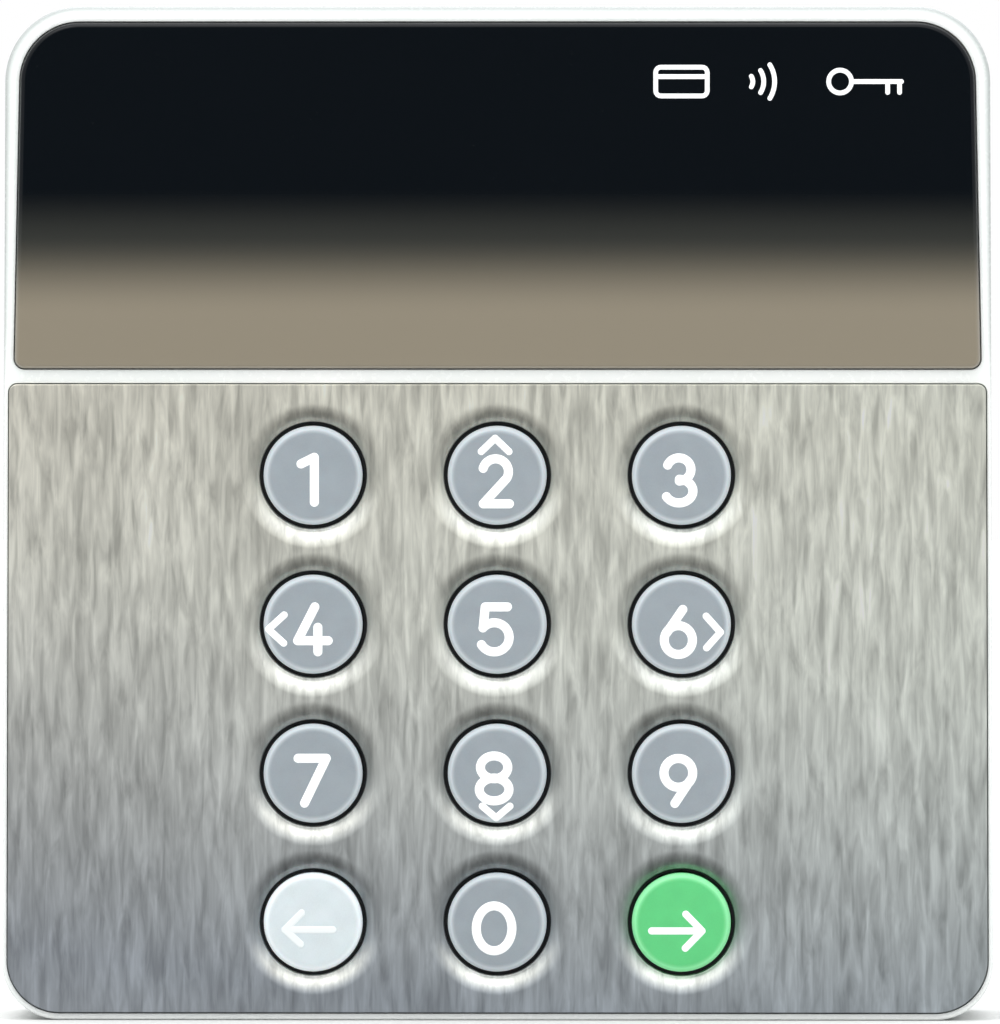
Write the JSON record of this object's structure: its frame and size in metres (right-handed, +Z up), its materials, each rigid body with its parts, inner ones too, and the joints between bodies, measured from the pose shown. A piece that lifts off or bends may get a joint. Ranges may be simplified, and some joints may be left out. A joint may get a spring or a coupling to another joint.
{
  "type": "keypad access reader",
  "caption": "Flat wall-mounted access reader with a smoked card window above a brushed steel keypad of round sprung keys in a pale rim.",
  "frame": {"origin": "middle of the wall plate's back face, which lies on the wall", "axes": "+X to the right seen from the front, +Y into the wall, so the front looks along -Y, +Z up"},
  "size_m": [0.1002, 0.0247, 0.1024],
  "materials": {
    "white_acrylic": "translucent white, satin-polished",
    "smoked_window": "high gloss, printed behind: black fading to tan",
    "bonding_tape": "foam tape",
    "brushed_plate": "vertical brushed grain",
    "dark_plastic": "fine spark texture",
    "silicone": "matt",
    "circuit_board": "solder mask",
    "clear_acrylic": "polished",
    "copper": "etched copper",
    "ferrite": "matt sheet",
    "chip_black": "moulded epoxy",
    "bright_can": "drawn can",
    "terminal_green": "moulded nylon",
    "grey_key": "satin moulded, white printed sign",
    "clear_key": "milky white, satin",
    "green_key": "translucent green, satin",
    "black_rubber": "matt",
    "grey_plastic": "fine spark texture",
    "zinc_steel": "zinc plated",
    "lamp_yellow": "lamp body"
  },
  "bodies": {
    "reader": {"front_housing": "white_acrylic", "window_lens": "smoked_window", "window_adhesive": "bonding_tape", "face_plate": "brushed_plate", "plate_adhesive": "bonding_tape", "key_guide": "dark_plastic", "key_frame": "dark_plastic", "key_mat": "silicone", "key_board": "circuit_board", "light_guide": "clear_acrylic", "antenna_board": "circuit_board", "antenna_coil": "copper", "ferrite_sheet": "ferrite", "main_board": "circuit_board", "processor_chip": "chip_black", "radio_chip": "chip_black", "clock_crystal": "bright_can", "supply_capacitor": "bright_can", "buzzer": "chip_black", "terminal_block": "terminal_green", "board_header": "chip_black", "board_socket": "chip_black", "tamper_switch": "chip_black", "housing_seal": "black_rubber", "rear_cover": "dark_plastic", "cable_grommet": "black_rubber", "wall_plate": "grey_plastic", "lock_screw": "zinc_steel", "board_screw_1": "zinc_steel", "main_screw_1": "zinc_steel", "cover_screw_1": "zinc_steel", "board_screw_2": "zinc_steel", "main_screw_2": "zinc_steel", "cover_screw_2": "zinc_steel", "board_screw_3": "zinc_steel", "main_screw_3": "zinc_steel", "cover_screw_3": "zinc_steel", "board_screw_4": "zinc_steel", "main_screw_4": "zinc_steel", "cover_screw_4": "zinc_steel", "antenna_screw_1": "zinc_steel", "antenna_screw_2": "zinc_steel", "status_led_1": "lamp_yellow", "status_led_2": "lamp_yellow", "status_led_3": "lamp_yellow"},
    "key_1": {"key_1": "grey_key"},
    "key_2": {"key_2": "grey_key"},
    "key_3": {"key_3": "grey_key"},
    "key_4": {"key_4": "grey_key"},
    "key_5": {"key_5": "grey_key"},
    "key_6": {"key_6": "grey_key"},
    "key_7": {"key_7": "grey_key"},
    "key_8": {"key_8": "grey_key"},
    "key_9": {"key_9": "grey_key"},
    "key_back": {"key_back": "clear_key"},
    "key_0": {"key_0": "grey_key"},
    "key_enter": {"key_enter": "green_key"},
    "tamper_plunger": {"tamper_plunger": "clear_key"}
  },
  "joints": [
    {"name": "key_1_press", "type": "slide", "parent": "reader", "child": "key_1", "axis": [0, 1, 0], "range_m": [0, 0.0008], "stiffness_N_per_m": 1200, "springref_m": -0.0008},
    {"name": "key_2_press", "type": "slide", "parent": "reader", "child": "key_2", "axis": [0, 1, 0], "range_m": [0, 0.0008], "stiffness_N_per_m": 1200, "springref_m": -0.0008},
    {"name": "key_3_press", "type": "slide", "parent": "reader", "child": "key_3", "axis": [0, 1, 0], "range_m": [0, 0.0008], "stiffness_N_per_m": 1200, "springref_m": -0.0008},
    {"name": "key_4_press", "type": "slide", "parent": "reader", "child": "key_4", "axis": [0, 1, 0], "range_m": [0, 0.0008], "stiffness_N_per_m": 1200, "springref_m": -0.0008},
    {"name": "key_5_press", "type": "slide", "parent": "reader", "child": "key_5", "axis": [0, 1, 0], "range_m": [0, 0.0008], "stiffness_N_per_m": 1200, "springref_m": -0.0008},
    {"name": "key_6_press", "type": "slide", "parent": "reader", "child": "key_6", "axis": [0, 1, 0], "range_m": [0, 0.0008], "stiffness_N_per_m": 1200, "springref_m": -0.0008},
    {"name": "key_7_press", "type": "slide", "parent": "reader", "child": "key_7", "axis": [0, 1, 0], "range_m": [0, 0.0008], "stiffness_N_per_m": 1200, "springref_m": -0.0008},
    {"name": "key_8_press", "type": "slide", "parent": "reader", "child": "key_8", "axis": [0, 1, 0], "range_m": [0, 0.0008], "stiffness_N_per_m": 1200, "springref_m": -0.0008},
    {"name": "key_9_press", "type": "slide", "parent": "reader", "child": "key_9", "axis": [0, 1, 0], "range_m": [0, 0.0008], "stiffness_N_per_m": 1200, "springref_m": -0.0008},
    {"name": "key_back_press", "type": "slide", "parent": "reader", "child": "key_back", "axis": [0, 1, 0], "range_m": [0, 0.0008], "stiffness_N_per_m": 1200, "springref_m": -0.0008},
    {"name": "key_0_press", "type": "slide", "parent": "reader", "child": "key_0", "axis": [0, 1, 0], "range_m": [0, 0.0008], "stiffness_N_per_m": 1200, "springref_m": -0.0008},
    {"name": "key_enter_press", "type": "slide", "parent": "reader", "child": "key_enter", "axis": [0, 1, 0], "range_m": [0, 0.0008], "stiffness_N_per_m": 1200, "springref_m": -0.0008},
    {"name": "tamper_press", "type": "slide", "parent": "reader", "child": "tamper_plunger", "axis": [0, 1, 0], "range_m": [-0.0008, 0], "stiffness_N_per_m": 400, "springref_m": 0.001}
  ]
}
